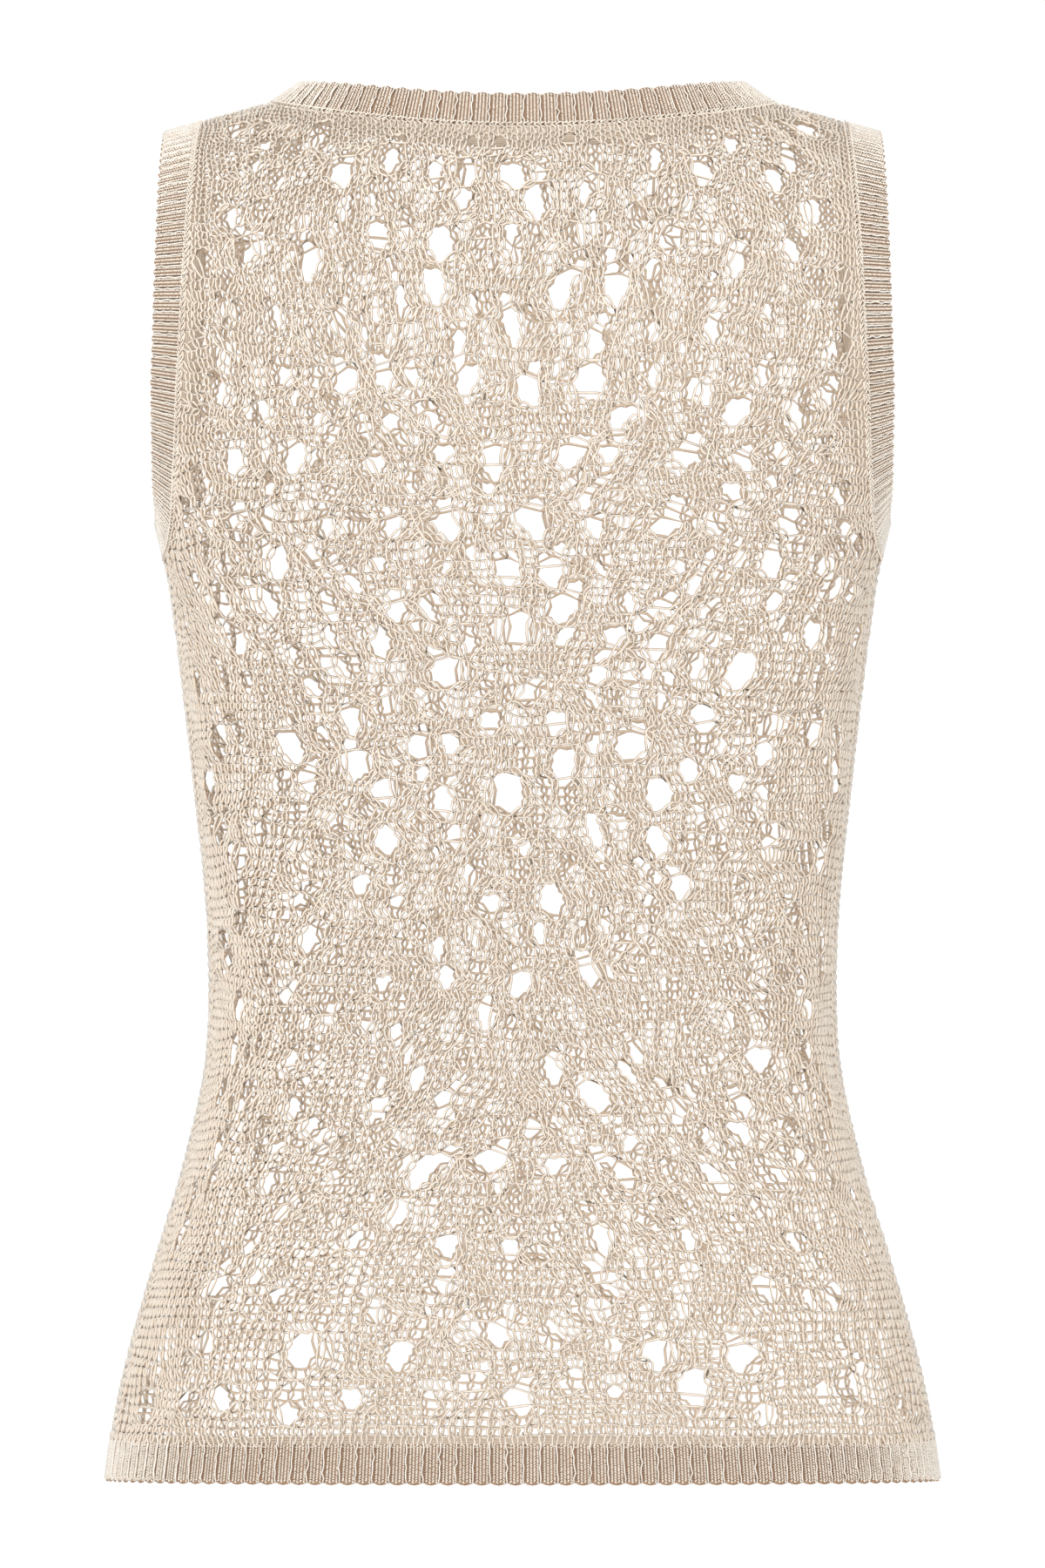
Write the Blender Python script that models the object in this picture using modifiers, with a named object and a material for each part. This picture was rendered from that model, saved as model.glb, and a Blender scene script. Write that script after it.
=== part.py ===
"""Sleeveless openwork knitted top, filled out as if worn, with ribbed neck, armhole and hem bands.

Metres, +Z up. The back of the top faces -Y and its front +Y. The origin is the middle of the
shoulder line, where the wearer's shoulders carry the top, so the hem hangs below it.
"""

import functools
import math

import bmesh
import bpy
from mathutils import Vector
from mathutils.geometry import delaunay_2d_cdt

# The lengths that drive the garment.
HEM_TO_SHOULDER = 0.594
HEM_BAND = 0.018
NECK_BAND = 0.0165
ARM_BAND = 0.0165
NECK_HALF_WIDTH = 0.1088
SHOULDER_TIP = 0.1395
TIP_DROP = 0.0085
UNDERARM = 0.3975
LACE_WALL = 0.0020
BAND_WALL = 0.0021
RIB_HEIGHT = 0.0008
SEAM_GAP = 0.0005

# The cloth stands straight up to ROUND_START and then rounds over to the shoulder line.
ROUND_START = 0.470
ROUND_LENGTH = 0.168
SHOULDER_LINE = ROUND_START + ROUND_LENGTH
NECK_CROWN = 0.012
SQUARENESS = 0.18
SHOULDER_FULLNESS = 0.20
NECK_CURVE = {"back": 2.3, "front": 2.4}
NECK_DROP = {"back": 0.063, "front": 0.071}
NECK_LIFT = {"back": 0.80, "front": 0.60}
SHOULDER_LIFT = 0.34

# Horizontal sections of the worn cloth, from the hem up, by height along the cloth.
SECTION_COLUMNS = ("height", "half_width", "back_depth", "front_depth")
SECTIONS = (
    (0.000, 0.1805, 0.116, 0.110),
    (0.025, 0.1768, 0.117, 0.109),
    (0.055, 0.1703, 0.116, 0.105),
    (0.095, 0.1590, 0.111, 0.100),
    (0.140, 0.1456, 0.099, 0.094),
    (0.185, 0.1365, 0.088, 0.090),
    (0.240, 0.1362, 0.084, 0.092),
    (0.300, 0.1420, 0.087, 0.101),
    (0.360, 0.1492, 0.094, 0.112),
    (0.400, 0.1557, 0.099, 0.114),
    (0.435, 0.1695, 0.102, 0.110),
    (0.475, 0.1820, 0.103, 0.103),
    (0.560, 0.1900, 0.102, 0.098),
    (0.640, 0.1930, 0.100, 0.096),
)

# The armhole seam: height along the cloth, and half width of the back and of the front there.
# Its lowest point is at the side, where the half width is the whole section's.
ARMHOLE_COLUMNS = ("height", "back", "front")
ARMHOLE = (
    (0.3985, 0.1544, 0.1544),
    (0.4030, 0.1526, 0.1520),
    (0.4110, 0.1511, 0.1498),
    (0.4240, 0.1500, 0.1475),
    (0.4420, 0.1490, 0.1450),
    (0.4620, 0.1482, 0.1425),
    (0.4850, 0.1470, 0.1405),
    (0.5100, 0.1457, 0.1392),
    (0.5400, 0.1440, 0.1387),
    (0.5750, 0.1420, 0.1390),
    (0.6080, 0.1402, 0.1393),
)

# The side seam lies a little behind the widest line. Angles are from the centre of each panel.
SIDE_SEAM = {"back": math.radians(80), "front": math.radians(100)}
FARTHEST_ANGLE = math.radians(112)
ARC_STEPS = 56
NECK_STEPS = 10
SEAM_STEP = 0.017

# Lace holes: the largest hole of each repeat is cut through, in staggered rows, mirrored about
# the centre line. The holes sway and vary a little, as they do in loose knitting.
HOLE_ROW = 0.0345
HOLE_COLUMNS = {"back": 10, "front": 12}
HOLE_HALF_WIDTH = 0.0052
HOLE_HALF_HEIGHT = 0.0060
HOLE_SIDES = 6
HOLE_SWAY = 0.0016
HOLE_VARIATION = 0.12
HOLE_MARGIN = 0.0085
RIM_ROW = 0.0045
FIRST_HOLE_ROW = 0.0340

RIB_PITCH = {"neck": 0.0074, "arm": 0.0056, "hem": 0.0069}
RIB_COLOUR = (0.62, 0.50, 0.38, 1.0)
LACE_COLOUR = (0.68, 0.57, 0.45, 1.0)


def table_value(rows, columns, name, at):
    """Reads one named column of a table at a height, with a smooth cubic between its rows."""
    column = columns.index(name)
    heights = [row[0] for row in rows]
    values = [row[column] for row in rows]
    at = min(max(at, heights[0]), heights[-1])
    last = len(rows) - 1
    i = max(k for k in range(last) if heights[k] <= at or k == 0)

    def slope(k):
        before, after = max(k - 1, 0), min(k + 1, last)
        return (values[after] - values[before]) / (heights[after] - heights[before])

    span = heights[i + 1] - heights[i]
    t = (at - heights[i]) / span
    return (
        (2 * t**3 - 3 * t**2 + 1) * values[i]
        + (t**3 - 2 * t**2 + t) * span * slope(i)
        + (3 * t**2 - 2 * t**3) * values[i + 1]
        + (t**3 - t**2) * span * slope(i + 1)
    )


def shoulder_height(x):
    """Height of the shoulder line at a distance from the middle, with a low crown across the neck."""
    x = abs(x)
    slope = TIP_DROP / (SHOULDER_TIP - NECK_HALF_WIDTH)
    if x >= NECK_HALF_WIDTH:
        return HEM_TO_SHOULDER - slope * (x - NECK_HALF_WIDTH)
    return HEM_TO_SHOULDER + NECK_CROWN * (1 - (x / NECK_HALF_WIDTH) ** 3)


@functools.lru_cache(maxsize=None)
def section(height):
    """Half width, back depth and front depth of the cloth at a height."""
    return tuple(table_value(SECTIONS, SECTION_COLUMNS, name, height) for name in SECTION_COLUMNS[1:])


def cloth_point(side, angle, height):
    """The outside of the cloth, by angle from the centre of the back or front and height along it."""
    half_width, back_depth, front_depth = section(round(height, 6))
    x = half_width * math.sin(angle)
    own, other = (back_depth, front_depth) if side == "back" else (front_depth, back_depth)
    depth = own if math.cos(angle) >= 0 else other
    y = depth * math.cos(angle) * (1 + SQUARENESS * math.sin(angle) ** 2)
    z = height
    if height > ROUND_START:
        turn = min(height - ROUND_START, ROUND_LENGTH) / ROUND_LENGTH * math.pi / 2
        z = ROUND_START + (shoulder_height(x) - ROUND_START) * math.sin(turn)
        y *= math.cos(turn) * (1 + SHOULDER_FULLNESS * math.sin(turn) ** 2)
    return Vector((x, -y if side == "back" else y, z - HEM_TO_SHOULDER))


@functools.lru_cache(maxsize=None)
def arc_lengths(side, height):
    """Lengths along the cloth from a panel's centre line to evenly spaced angles."""
    angles = [FARTHEST_ANGLE * k / ARC_STEPS for k in range(ARC_STEPS + 1)]
    points = [cloth_point(side, a, height) for a in angles]
    lengths = [0.0]
    for before, after in zip(points, points[1:]):
        lengths.append(lengths[-1] + (after - before).length)
    return lengths


def across(side, angle, height):
    """Length along the cloth from a panel's centre line to an angle."""
    lengths = arc_lengths(side, round(height, 6))
    place = abs(angle) / FARTHEST_ANGLE * ARC_STEPS
    k = min(int(place), ARC_STEPS - 1)
    found = lengths[k] + (place - k) * (lengths[k + 1] - lengths[k])
    return math.copysign(found, angle)


def angle_across(side, length, height):
    """The angle that lies at a length along the cloth from a panel's centre line."""
    lengths = arc_lengths(side, round(height, 6))
    k = max(i for i in range(ARC_STEPS) if lengths[i] <= abs(length) or i == 0)
    share = (abs(length) - lengths[k]) / (lengths[k + 1] - lengths[k])
    return math.copysign(FARTHEST_ANGLE * (k + share) / ARC_STEPS, length)


def spaced(count):
    """Even shares from 0 to 1."""
    return [k / count for k in range(count + 1)]


def armhole_seam():
    """The armhole seam on the +X side, as (side, angle, height), from the shoulder down the back and up."""
    seam = {"back": [], "front": []}
    for side, points in seam.items():
        points.append((math.asin(SHOULDER_TIP / section(SHOULDER_LINE)[0]), SHOULDER_LINE))
        for row in reversed(ARMHOLE):
            x = row[ARMHOLE_COLUMNS.index(side)]
            points.append((math.asin(x / section(row[0])[0]), row[0]))
    front = [(math.pi - angle, height) for angle, height in reversed(seam["front"])]
    turns = with_midpoints(seam["back"] + [(math.pi / 2, UNDERARM)] + front)
    return [
        ("back", angle, height) if angle <= math.pi / 2 else ("front", math.pi - angle, height)
        for angle, height in turns
    ]


def with_midpoints(turns):
    """Adds a point on the smooth curve halfway along each run that is longer than SEAM_STEP."""
    found = []
    for k, (here, there) in enumerate(zip(turns, turns[1:])):
        before = turns[max(k - 1, 0)]
        after = turns[min(k + 2, len(turns) - 1)]
        found.append(here)
        if (cloth_point("back", *here) - cloth_point("back", *there)).length > SEAM_STEP:
            middle = zip(before, here, there, after)
            found.append(tuple((9 * (b + c) - a - d) / 16 for a, b, c, d in middle))
    return found + turns[-1:]


def seam_at_side(seam):
    """Where the armhole seam crosses the side seam, and its index in the list of seam points."""
    for i, (before, after) in enumerate(zip(seam, seam[1:])):
        if before[0] == after[0] == "back" and before[1] <= SIDE_SEAM["back"] <= after[1]:
            share = (SIDE_SEAM["back"] - before[1]) / (after[1] - before[1])
            height = before[2] + share * (after[2] - before[2])
            return i + 1, ("back", SIDE_SEAM["back"], height)
    raise ValueError("the armhole seam doesn't cross the side seam")


def on_panel(side, point):
    """A seam point as an angle and height of one panel, whichever panel it was given on."""
    given, angle, height = point
    return (angle, height) if given == side else (math.pi - angle, height)


def neck_seam(side):
    """The neck seam of one panel, from the middle to the +X shoulder, as (side, angle, height)."""
    points = []
    for share in spaced(NECK_STEPS):
        turn = share * math.pi / 2
        x = NECK_HALF_WIDTH * math.sin(turn) ** (2 / NECK_CURVE[side])
        height = SHOULDER_LINE - NECK_DROP[side] * math.cos(turn) ** (2 / NECK_CURVE[side])
        points.append((side, math.asin(x / section(round(height, 6))[0]), height))
    return points


def armhole_points():
    """The armhole seam with the side seam's point put in, and that point's index."""
    seam = armhole_seam()
    index, crossing = seam_at_side(seam)
    return seam[:index] + [crossing] + seam[index:], index


def panel_outline(side):
    """Half of a panel's outline on the +X side, from the bottom middle round to the top middle."""
    hem_steps = math.ceil(across(side, SIDE_SEAM[side], HEM_BAND) / SEAM_STEP)
    outline = [(SIDE_SEAM[side] * share, HEM_BAND) for share in spaced(hem_steps)]
    seam, index = armhole_points()
    armhole = seam[: index + 1][::-1] if side == "back" else seam[index:]
    side_steps = math.ceil((seam[index][2] - HEM_BAND) / SEAM_STEP)
    rise = seam[index][2] - HEM_BAND
    outline += [(SIDE_SEAM[side], HEM_BAND + rise * share) for share in spaced(side_steps)[1:-1]]
    outline += [on_panel(side, point) for point in armhole]
    outline += [on_panel(side, point) for point in reversed(neck_seam(side))]
    return outline


def inset_loop(points, distance):
    """A closed loop of flat points moved inwards by a distance; the loop runs anticlockwise."""
    moved = []
    for before, here, after in zip(points[-1:] + points[:-1], points, points[1:] + points[:1]):
        first = (here - before).normalized()
        second = (after - here).normalized()
        inward = Vector((-first.y - second.y, first.x + second.x)).normalized()
        cosine = max(inward.dot(Vector((-first.y, first.x))), 0.5)
        moved.append(here + inward * distance / cosine)
    return moved


def distance_to_loop(point, loop):
    """Shortest distance from a flat point to a closed loop."""
    best = 1.0
    for start, end in zip(loop, loop[1:] + loop[:1]):
        along = end - start
        share = (point - start).dot(along) / max(along.length_squared, 1e-12)
        best = min(best, (point - start - along * min(max(share, 0.0), 1.0)).length)
    return best


def inside_loop(point, loop):
    """Whether a flat point lies inside a closed loop."""
    crossings = 0
    for start, end in zip(loop, loop[1:] + loop[:1]):
        if (start.y > point.y) != (end.y > point.y):
            at = start.x + (point.y - start.y) / (end.y - start.y) * (end.x - start.x)
            crossings += at > point.x
    return crossings % 2 == 1


def lace_holes(side, outline):
    """Hexagonal lace holes in the flat panel: staggered rows that follow the wales."""
    holes = []
    columns = HOLE_COLUMNS[side]
    top = max(point.y for point in outline)
    for row in range(int((top - FIRST_HOLE_ROW) / HOLE_ROW) + 1):
        height = FIRST_HOLE_ROW + row * HOLE_ROW
        half_width = across(side, SIDE_SEAM[side], min(height, SHOULDER_LINE))
        for column in range(-columns, columns + 1):
            if (column + row) % 2:
                continue
            sway = HOLE_SWAY * math.sin(1.7 * abs(column) + 2.3 * row)
            sideways = math.copysign(sway, column) if column else 0.0
            centre = Vector((half_width * column / columns + sideways, height - sway))
            grow = 1 + HOLE_VARIATION * math.sin(2.9 * abs(column) - 1.3 * row)
            clear = HOLE_HALF_HEIGHT * grow + HOLE_MARGIN
            if not inside_loop(centre, outline) or distance_to_loop(centre, outline) < clear:
                continue
            turns = [2 * math.pi * (k + 0.5) / HOLE_SIDES for k in range(HOLE_SIDES)]
            holes.append(
                [
                    centre
                    + grow * Vector((HOLE_HALF_WIDTH * math.cos(t), HOLE_HALF_HEIGHT * math.sin(t)))
                    for t in turns
                ]
            )
    return holes


def material(name, colour, roughness):
    made = bpy.data.materials.new(name)
    made.use_nodes = True
    shader = made.node_tree.nodes["Principled BSDF"]
    shader.inputs["Base Color"].default_value = colour
    shader.inputs["Roughness"].default_value = roughness
    shader.inputs["Metallic"].default_value = 0.0
    return made


def new_object(name, mesh, collection, finish):
    made = bpy.data.objects.new(name, mesh)
    mesh.materials.append(finish)
    collection.objects.link(made)
    return made


def lace_panel(name, side, collection, finish):
    """A lace panel: its flat outline and holes are meshed, wrapped on the worn form and thickened."""
    half = panel_outline(side)
    flat = [Vector((across(side, angle, height), height)) for angle, height in half]
    mirrored = [Vector((-p.x, p.y)) for p in reversed(flat[1:-1])]
    outline = inset_loop(flat + mirrored, SEAM_GAP / 2)
    holes = lace_holes(side, outline)
    points, edges = list(outline), []
    points += [p for p in inset_loop(outline, RIM_ROW) if inside_loop(p, outline)]
    for hole in holes:
        first = len(points)
        points += hole
        edges += [(first + k, first + (k + 1) % len(hole)) for k in range(len(hole))]
    border = list(range(len(outline)))
    placed, _, faces, _, _, _ = delaunay_2d_cdt(points, edges, [border], 1, 1e-7)
    bm = bmesh.new()
    vertices = [
        bm.verts.new(cloth_point(side, angle_across(side, p.x, p.y), p.y)) for p in placed
    ]
    for face in faces:
        middle = sum((placed[k] for k in face), Vector((0, 0))) / len(face)
        if not any((middle - hole[0]).length < 0.03 and inside_loop(middle, hole) for hole in holes):
            corners = face if side == "back" else reversed(face)
            bm.faces.new([vertices[k] for k in corners])
    bmesh.ops.delete(bm, geom=[v for v in bm.verts if not v.link_faces], context="VERTS")
    mesh = bpy.data.meshes.new(name)
    bm.to_mesh(mesh)
    bm.free()
    made = new_object(name, mesh, collection, finish)
    wall = made.modifiers.new("wall", "SOLIDIFY")
    wall.thickness = LACE_WALL
    wall.offset = -1
    wall.use_even_offset = True
    print(name, "holes", len(holes), "faces", len(mesh.polygons))
    return made, len(holes)


def surface_frame(side, angle, height):
    """Outward normal of the cloth at a point, and a point a little further down the cloth."""
    step = 1e-4
    low = min(height, SHOULDER_LINE - step)
    run = cloth_point(side, angle + step, low) - cloth_point(side, angle - step, low)
    rise = cloth_point(side, angle, low) - cloth_point(side, angle, low - step)
    normal = run.cross(rise).normalized()
    return normal if side == "back" else -normal


def neck_lift(side, angle, height):
    """How much the neckband stands up off the cloth: less where it goes over the shoulder."""
    share = min(abs(cloth_point(side, angle, height).x) / NECK_HALF_WIDTH, 1.0) ** 5
    return NECK_LIFT[side] * (1 - share) + SHOULDER_LIFT * share


def seam_frames(seam, closed, lift):
    """For each seam point: its place, the way off the cloth along its surface, and the normal."""
    places = [cloth_point(*point) for point in seam]
    frames = []
    last = len(seam) - 1
    for i, (point, place) in enumerate(zip(seam, places)):
        before = places[i - 1] if closed or i else place
        after = places[(i + 1) % len(seam)] if closed or i < last else place
        along = (after - before).normalized()
        normal = surface_frame(*point)
        out = normal.cross(along).normalized()
        if lift:
            out = (out + Vector((0, 0, lift(*point)))).normalized()
            out = (out - along * out.dot(along)).normalized()
            normal = (normal - out * normal.dot(out)).normalized()
        frames.append((place, out, normal))
    return frames


def along_seam(frames, closed, count):
    """Frames at even steps along the straight runs between seam points."""
    ends = frames[1:] + frames[:1] if closed else frames[1:]
    runs = [(a, b, (b[0] - a[0]).length) for a, b in zip(frames, ends)]
    total = sum(run[2] for run in runs)
    steps = [total * k / count for k in range(count if closed else count + 1)]
    found, start, index = [], 0.0, 0
    for at in steps:
        while index < len(runs) - 1 and at > start + runs[index][2]:
            start += runs[index][2]
            index += 1
        a, b, length = runs[index]
        share = min((at - start) / length, 1.0)
        found.append(tuple(p.lerp(q, share) for p, q in zip(a, b)))
    return found


def seam_length(frames, closed):
    ends = frames[1:] + frames[:1] if closed else frames[1:]
    return sum((b[0] - a[0]).length for a, b in zip(frames, ends))


def ribbed_band(name, frames, closed, width, pitch, collection, finish):
    """A ribbed strip sewn to a seam: a plain inside, and an outside raised along each rib."""
    ribs = round(seam_length(frames, closed) / pitch)
    columns = along_seam(frames, closed, 2 * ribs)
    bm = bmesh.new()
    loops = []
    for k, (place, out, normal) in enumerate(columns):
        out, normal = out.normalized(), normal.normalized()
        raised = RIB_HEIGHT if k % 2 else 0.0
        near, far = place + out * SEAM_GAP / 2, place + out * width
        corners = (
            near + normal * raised,
            far + normal * raised,
            far - normal * BAND_WALL,
            near - normal * BAND_WALL,
        )
        loops.append([bm.verts.new(corner) for corner in corners])
    pairs = list(zip(loops, loops[1:] + loops[:1])) if closed else list(zip(loops, loops[1:]))
    for here, there in pairs:
        for k in range(4):
            bm.faces.new((here[k], here[(k + 1) % 4], there[(k + 1) % 4], there[k]))
    if not closed:
        bm.faces.new(loops[0])
        bm.faces.new(loops[-1])
    bmesh.ops.recalc_face_normals(bm, faces=bm.faces)
    mesh = bpy.data.meshes.new(name)
    bm.to_mesh(mesh)
    bm.free()
    print(name, "ribs", ribs, "seam length", round(seam_length(frames, closed), 4))
    return new_object(name, mesh, collection, finish)


def mirrored_frames(frames):
    """The same seam on the other side, in the order that keeps the way off the cloth outwards."""
    return [tuple(Vector((-v.x, v.y, v.z)) for v in frame) for frame in reversed(frames)]


def neck_frames():
    """The whole neck seam as a ring: across the back, over a shoulder, across the front and back."""
    back = neck_seam("back")
    front = neck_seam("front")
    right = back + front[-2::-1]
    left = [(side, -angle, height) for side, angle, height in reversed(right[1:-1])]
    return seam_frames(right + left, True, neck_lift)


def arm_frames():
    """The armhole seam on the +X side as a ring, over the shoulder and under the arm."""
    seam, _ = armhole_points()
    return seam_frames(seam[:-1], True, None)


def hem_frames(side):
    """The lace panel's lower edge, where the hem band is knitted on."""
    steps = math.ceil(across(side, SIDE_SEAM[side], HEM_BAND) / SEAM_STEP)
    inset = SEAM_GAP / 2 / across(side, SIDE_SEAM[side], HEM_BAND)
    shares = [(k / steps) for k in range(-steps, steps + 1)]
    shares[0], shares[-1] = -1 + inset, 1 - inset
    seam = [(side, SIDE_SEAM[side] * share, HEM_BAND) for share in shares]
    frames = seam_frames(seam, False, None)
    return [(place, hem_fall(*point), normal) for point, (place, _, normal) in zip(seam, frames)]


def hem_fall(side, angle, height):
    """The way down the cloth at a point of the hem band's seam."""
    low = cloth_point(side, angle, height - HEM_BAND)
    return (low - cloth_point(side, angle, height)).normalized()


def clear_scene():
    for old in list(bpy.data.objects):
        bpy.data.objects.remove(old)


def build():
    clear_scene()
    collection = bpy.data.collections.new("openwork_top")
    bpy.context.scene.collection.children.link(collection)
    lace = material("openwork_knit", LACE_COLOUR, 0.55)
    rib = material("rib_knit", RIB_COLOUR, 0.60)
    cut = 0
    for side in ("back", "front"):
        _, holes = lace_panel(f"{side}_panel", side, collection, lace)
        cut += holes
        frames = hem_frames(side)
        ribbed_band(f"hem_band_{side}", frames, False, HEM_BAND, RIB_PITCH["hem"], collection, rib)
    ribbed_band("neckband", neck_frames(), True, NECK_BAND, RIB_PITCH["neck"], collection, rib)
    arm = arm_frames()
    ribbed_band("armband_right", arm, True, ARM_BAND, RIB_PITCH["arm"], collection, rib)
    other = mirrored_frames(arm)
    ribbed_band("armband_left", other, True, ARM_BAND, RIB_PITCH["arm"], collection, rib)
    print("holes in all", cut)


build()
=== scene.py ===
# %% [markdown]
# This lesson dresses a sleeveless openwork top, seen from the back and filled out as if worn.
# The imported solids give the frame: two lace panels, a neckband, two armbands and two hem bands.
# Each of them gets real knitting here, because a knitted net can't be faked with a flat wall.

import math

import bpy
import numpy as np
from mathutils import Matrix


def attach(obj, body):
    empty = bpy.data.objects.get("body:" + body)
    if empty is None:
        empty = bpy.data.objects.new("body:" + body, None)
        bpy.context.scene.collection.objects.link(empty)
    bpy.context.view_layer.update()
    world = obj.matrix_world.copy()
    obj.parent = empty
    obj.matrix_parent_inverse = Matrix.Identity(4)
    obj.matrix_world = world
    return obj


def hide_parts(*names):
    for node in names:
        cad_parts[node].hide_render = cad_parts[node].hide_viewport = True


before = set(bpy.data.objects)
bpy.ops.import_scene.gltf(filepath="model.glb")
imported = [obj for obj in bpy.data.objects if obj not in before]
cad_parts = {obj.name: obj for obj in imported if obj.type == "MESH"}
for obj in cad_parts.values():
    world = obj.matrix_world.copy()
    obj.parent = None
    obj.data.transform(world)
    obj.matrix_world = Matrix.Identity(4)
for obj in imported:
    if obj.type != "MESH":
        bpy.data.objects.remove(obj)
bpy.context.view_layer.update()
print("nodes", sorted(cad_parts))

# %% [markdown]
# The worn form comes first. A garment is drawn best by its horizontal sections, as a tailor
# measures a figure: half width, and depth to the back and to the front. The seams and the
# widths of the bands are measures of the same kind. All of them are the ones of the solids.

# %% Measures of the garment
HEM_TO_SHOULDER = 0.594
HEM_BAND = 0.018
NECK_BAND = 0.0165
ARM_BAND = 0.0165
NECK_HALF_WIDTH = 0.1088
SHOULDER_TIP = 0.1395
TIP_DROP = 0.0085
UNDERARM = 0.3975
BAND_WALL = 0.0021
ROUND_START = 0.470
ROUND_LENGTH = 0.168
SHOULDER_LINE = ROUND_START + ROUND_LENGTH
NECK_CROWN = 0.012
SQUARENESS = 0.18
SHOULDER_FULLNESS = 0.20
NECK_CURVE = {"back": 2.3, "front": 2.4}
NECK_DROP = {"back": 0.063, "front": 0.071}
NECK_LIFT = {"back": 0.80, "front": 0.60}
SHOULDER_LIFT = 0.34
SIDE_SEAM = {"back": math.radians(80), "front": math.radians(100)}
FARTHEST_ANGLE = math.radians(112)
ARC_STEPS = 56
HEIGHT_STEPS = 320
SECTIONS = (
    (0.000, 0.1805, 0.116, 0.110),
    (0.025, 0.1768, 0.117, 0.109),
    (0.055, 0.1703, 0.116, 0.105),
    (0.095, 0.1590, 0.111, 0.100),
    (0.140, 0.1456, 0.099, 0.094),
    (0.185, 0.1365, 0.088, 0.090),
    (0.240, 0.1362, 0.084, 0.092),
    (0.300, 0.1420, 0.087, 0.101),
    (0.360, 0.1492, 0.094, 0.112),
    (0.400, 0.1557, 0.099, 0.114),
    (0.435, 0.1695, 0.102, 0.110),
    (0.475, 0.1820, 0.103, 0.103),
    (0.560, 0.1900, 0.102, 0.098),
    (0.640, 0.1930, 0.100, 0.096),
)
ARMHOLE = (
    (0.3985, 0.1544, 0.1544),
    (0.4030, 0.1526, 0.1520),
    (0.4110, 0.1511, 0.1498),
    (0.4240, 0.1500, 0.1475),
    (0.4420, 0.1490, 0.1450),
    (0.4620, 0.1482, 0.1425),
    (0.4850, 0.1470, 0.1405),
    (0.5100, 0.1457, 0.1392),
    (0.5400, 0.1440, 0.1387),
    (0.5750, 0.1420, 0.1390),
    (0.6080, 0.1402, 0.1393),
)
print("hem to shoulder", HEM_TO_SHOULDER)


# %% [markdown]
# A smooth curve between the sections and one rounding rule for the shoulders give every point
# of the cloth. A modelled body with the cloth shrunk onto it would also do, but a formula keeps
# the knitting and the solids on exactly the same surface.

# %% Sections and the worn form
def smooth_rows(rows, at):
    """Reads a table of heights and values at many heights, with a smooth cubic between its rows."""
    rows = np.array(rows)
    heights, values = rows[:, 0], rows[:, 1:]
    at = np.clip(np.asarray(at, float), heights[0], heights[-1])
    i = np.clip(np.searchsorted(heights, at, side="right") - 1, 0, len(heights) - 2)
    number = np.arange(len(heights))
    before, after = np.maximum(number - 1, 0), np.minimum(number + 1, len(heights) - 1)
    slope = (values[after] - values[before]) / (heights[after] - heights[before])[:, None]
    span = (heights[i + 1] - heights[i])[..., None]
    t = (at - heights[i])[..., None] / span
    start = (2 * t**3 - 3 * t**2 + 1) * values[i] + (t**3 - 2 * t**2 + t) * span * slope[i]
    return start + (3 * t**2 - 2 * t**3) * values[i + 1] + (t**3 - t**2) * span * slope[i + 1]


def shoulder_height(x):
    """Height of the shoulder line, with a low crown across the neck."""
    x = np.abs(x)
    slope = TIP_DROP / (SHOULDER_TIP - NECK_HALF_WIDTH)
    crown = NECK_CROWN * (1 - np.minimum(x / NECK_HALF_WIDTH, 1) ** 3)
    return HEM_TO_SHOULDER + np.where(x >= NECK_HALF_WIDTH, -slope * (x - NECK_HALF_WIDTH), crown)


def cloth_point(side, angle, height):
    """Points on the outside of the cloth, by angle from the centre of a panel and height."""
    angle, height = np.broadcast_arrays(np.asarray(angle, float), np.asarray(height, float))
    table = smooth_rows(SECTIONS, height)
    x = table[..., 0] * np.sin(angle)
    own, other = (1, 2) if side == "back" else (2, 1)
    depth = np.where(np.cos(angle) >= 0, table[..., own], table[..., other])
    y = depth * np.cos(angle) * (1 + SQUARENESS * np.sin(angle) ** 2)
    turn = np.clip(height - ROUND_START, 0, ROUND_LENGTH) / ROUND_LENGTH * np.pi / 2
    rounded = ROUND_START + (shoulder_height(x) - ROUND_START) * np.sin(turn)
    z = np.where(height > ROUND_START, rounded, height) - HEM_TO_SHOULDER
    y = y * np.cos(turn) * (1 + SHOULDER_FULLNESS * np.sin(turn) ** 2)
    return np.stack([x, -y if side == "back" else y, z], -1)


def length_table(side):
    """Lengths along the cloth from the centre line, for even heights and angles."""
    angles = np.linspace(0, FARTHEST_ANGLE, ARC_STEPS + 1)
    heights = np.linspace(0, SHOULDER_LINE, HEIGHT_STEPS + 1)
    points = cloth_point(side, angles[None, :], heights[:, None])
    steps = np.linalg.norm(np.diff(points, axis=1), axis=2)
    return np.concatenate([np.zeros((len(heights), 1)), np.cumsum(steps, axis=1)], axis=1)


LENGTHS = {side: length_table(side) for side in ("back", "front")}
print("hem of the back, metres", round(2 * float(LENGTHS["back"][9, 40]), 3))


# %% [markdown]
# A knitter thinks of a panel as lying flat. So every point can be given by its length along the
# cloth from the centre line and its height, and these functions change that to the worn form
# and back. They also give the outward direction, which tells the front of a stitch.

# %% Flat cloth and worn cloth
def lengths_at(side, height):
    """The length table's rows at any heights."""
    place = np.clip(height / SHOULDER_LINE * HEIGHT_STEPS, 0, HEIGHT_STEPS - 1e-6)
    row = place.astype(int)
    share = (place - row)[:, None]
    return LENGTHS[side][row] * (1 - share) + LENGTHS[side][row + 1] * share


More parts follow.
